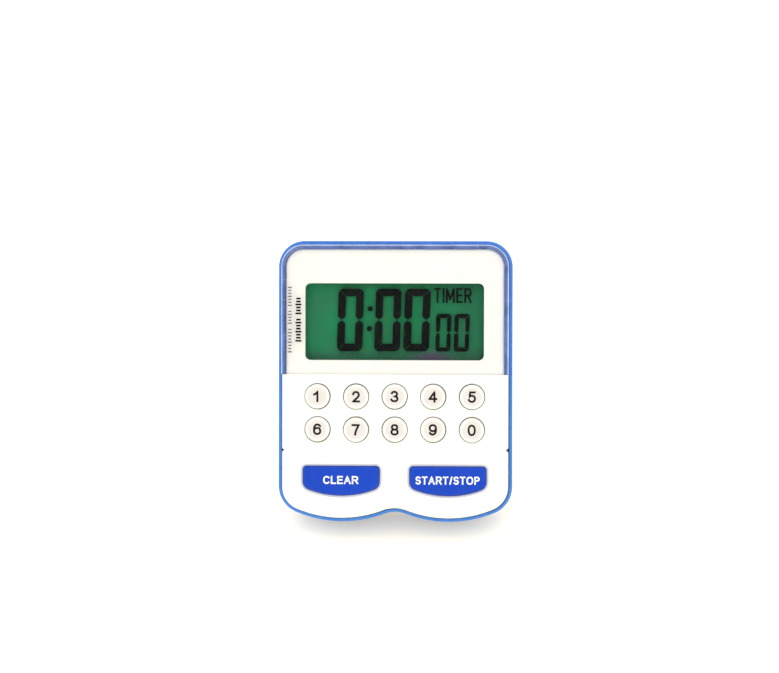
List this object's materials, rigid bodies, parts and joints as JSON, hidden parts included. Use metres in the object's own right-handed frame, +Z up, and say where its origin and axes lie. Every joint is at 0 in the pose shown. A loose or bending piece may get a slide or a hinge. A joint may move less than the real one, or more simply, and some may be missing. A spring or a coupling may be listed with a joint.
{
  "type": "digital countdown timer",
  "caption": "Small digital countdown timer with a number pad, clear-capped display, blue rear shell, fold-out stand and rear magnets.",
  "frame": {"origin": "middle of the bounding box's floor, on the surface that the lobes and the stand rest on", "axes": "+Z up, +X to the right of someone reading the display, +Y from the display towards the stand"},
  "size_m": [0.074, 0.0606, 0.0849],
  "materials": {
    "blue_shell": "smooth blue ABS, light satin gloss",
    "white_shell": "smooth warm white ABS",
    "clear_cap": "clear polystyrene, polished",
    "clear_film": "thin clear protective film",
    "display_glass": "polished display glass",
    "display_reflector": "green tinted reflector",
    "inner_plastic": "moulded ABS",
    "grey_rubber": "silicone",
    "key_white": "smooth warm white keys",
    "key_blue": "smooth blue keys",
    "board_green": "solder mask",
    "black_plastic": "black epoxy and plastic",
    "knob_white": "moulded ABS",
    "steel": "nickel plated steel",
    "magnet_nickel": "nickel plated magnet",
    "brass": "bare brass",
    "ceramic": "silvered ceramic",
    "lead_red": "wire insulation",
    "lead_black": "wire insulation",
    "battery_sleeve": "plain printed sleeve"
  },
  "bodies": {
    "case": {"battery": "battery_sleeve", "battery_contact_negative": "steel", "battery_contact_positive": "steel", "battery_spring": "steel", "board_screw_1": "steel", "board_screw_2": "steel", "board_screw_3": "steel", "board_screw_4": "steel", "buzzer_lead_black": "lead_black", "buzzer_lead_red": "lead_red", "capacitor": "black_plastic", "case_screw_1": "steel", "case_screw_2": "steel", "case_screw_3": "steel", "case_screw_4": "steel", "circuit_board": "board_green", "clear_window": "clear_cap", "controller_blob": "black_plastic", "crystal_can": "steel", "front_bezel": "white_shell", "keypad_mat": "grey_rubber", "lcd_frame": "inner_plastic", "lcd_front_glass": "display_glass", "lcd_rear_glass": "display_glass", "lcd_reflector": "display_reflector", "magnet_left": "magnet_nickel", "magnet_right": "magnet_nickel", "piezo_ceramic": "ceramic", "piezo_plate": "brass", "rear_case": "blue_shell", "switch_body": "steel", "transit_film": "clear_film", "zebra_strip": "grey_rubber"},
    "stand": {"stand": "blue_shell"},
    "battery_door": {"battery_door": "blue_shell"},
    "mode_switch": {"switch_knob": "knob_white", "switch_lever": "black_plastic"},
    "number_key_1": {"number_key_1": "key_white"},
    "number_key_2": {"number_key_2": "key_white"},
    "number_key_3": {"number_key_3": "key_white"},
    "number_key_4": {"number_key_4": "key_white"},
    "number_key_5": {"number_key_5": "key_white"},
    "number_key_6": {"number_key_6": "key_white"},
    "number_key_7": {"number_key_7": "key_white"},
    "number_key_8": {"number_key_8": "key_white"},
    "number_key_9": {"number_key_9": "key_white"},
    "number_key_0": {"number_key_0": "key_white"},
    "clear_key": {"clear_key": "key_blue"},
    "start_stop_key": {"start_stop_key": "key_blue"}
  },
  "joints": [
    {"name": "stand_fold", "type": "hinge", "parent": "case", "child": "stand", "pos_m": [0, 0.01441, 0.04891], "axis": [1, 0, 0], "range_deg": [-38, 0]},
    {"name": "battery_door_open", "type": "hinge", "parent": "case", "child": "battery_door", "pos_m": [0, 0.02411, 0.06491], "axis": [1, 0, 0], "range_deg": [0, 65]},
    {"name": "mode_switch_slide", "type": "slide", "parent": "case", "child": "mode_switch", "axis": [0, 0.5, 0.866], "range_m": [0, 0.0025]},
    {"name": "number_key_1_press", "type": "slide", "parent": "case", "child": "number_key_1", "axis": [0, 0.866, -0.5], "range_m": [0, 0.001], "stiffness_N_per_m": 300, "springref_m": -0.002, "deforming": ["keypad_mat"]},
    {"name": "number_key_2_press", "type": "slide", "parent": "case", "child": "number_key_2", "axis": [0, 0.866, -0.5], "range_m": [0, 0.001], "stiffness_N_per_m": 300, "springref_m": -0.002, "deforming": ["keypad_mat"]},
    {"name": "number_key_3_press", "type": "slide", "parent": "case", "child": "number_key_3", "axis": [0, 0.866, -0.5], "range_m": [0, 0.001], "stiffness_N_per_m": 300, "springref_m": -0.002, "deforming": ["keypad_mat"]},
    {"name": "number_key_4_press", "type": "slide", "parent": "case", "child": "number_key_4", "axis": [0, 0.866, -0.5], "range_m": [0, 0.001], "stiffness_N_per_m": 300, "springref_m": -0.002, "deforming": ["keypad_mat"]},
    {"name": "number_key_5_press", "type": "slide", "parent": "case", "child": "number_key_5", "axis": [0, 0.866, -0.5], "range_m": [0, 0.001], "stiffness_N_per_m": 300, "springref_m": -0.002, "deforming": ["keypad_mat"]},
    {"name": "number_key_6_press", "type": "slide", "parent": "case", "child": "number_key_6", "axis": [0, 0.866, -0.5], "range_m": [0, 0.001], "stiffness_N_per_m": 300, "springref_m": -0.002, "deforming": ["keypad_mat"]},
    {"name": "number_key_7_press", "type": "slide", "parent": "case", "child": "number_key_7", "axis": [0, 0.866, -0.5], "range_m": [0, 0.001], "stiffness_N_per_m": 300, "springref_m": -0.002, "deforming": ["keypad_mat"]},
    {"name": "number_key_8_press", "type": "slide", "parent": "case", "child": "number_key_8", "axis": [0, 0.866, -0.5], "range_m": [0, 0.001], "stiffness_N_per_m": 300, "springref_m": -0.002, "deforming": ["keypad_mat"]},
    {"name": "number_key_9_press", "type": "slide", "parent": "case", "child": "number_key_9", "axis": [0, 0.866, -0.5], "range_m": [0, 0.001], "stiffness_N_per_m": 300, "springref_m": -0.002, "deforming": ["keypad_mat"]},
    {"name": "number_key_0_press", "type": "slide", "parent": "case", "child": "number_key_0", "axis": [0, 0.866, -0.5], "range_m": [0, 0.001], "stiffness_N_per_m": 300, "springref_m": -0.002, "deforming": ["keypad_mat"]},
    {"name": "clear_key_press", "type": "slide", "parent": "case", "child": "clear_key", "axis": [0, 0.866, -0.5], "range_m": [0, 0.001], "stiffness_N_per_m": 300, "springref_m": -0.002, "deforming": ["keypad_mat"]},
    {"name": "start_stop_key_press", "type": "slide", "parent": "case", "child": "start_stop_key", "axis": [0, 0.866, -0.5], "range_m": [0, 0.001], "stiffness_N_per_m": 300, "springref_m": -0.002, "deforming": ["keypad_mat"]}
  ]
}
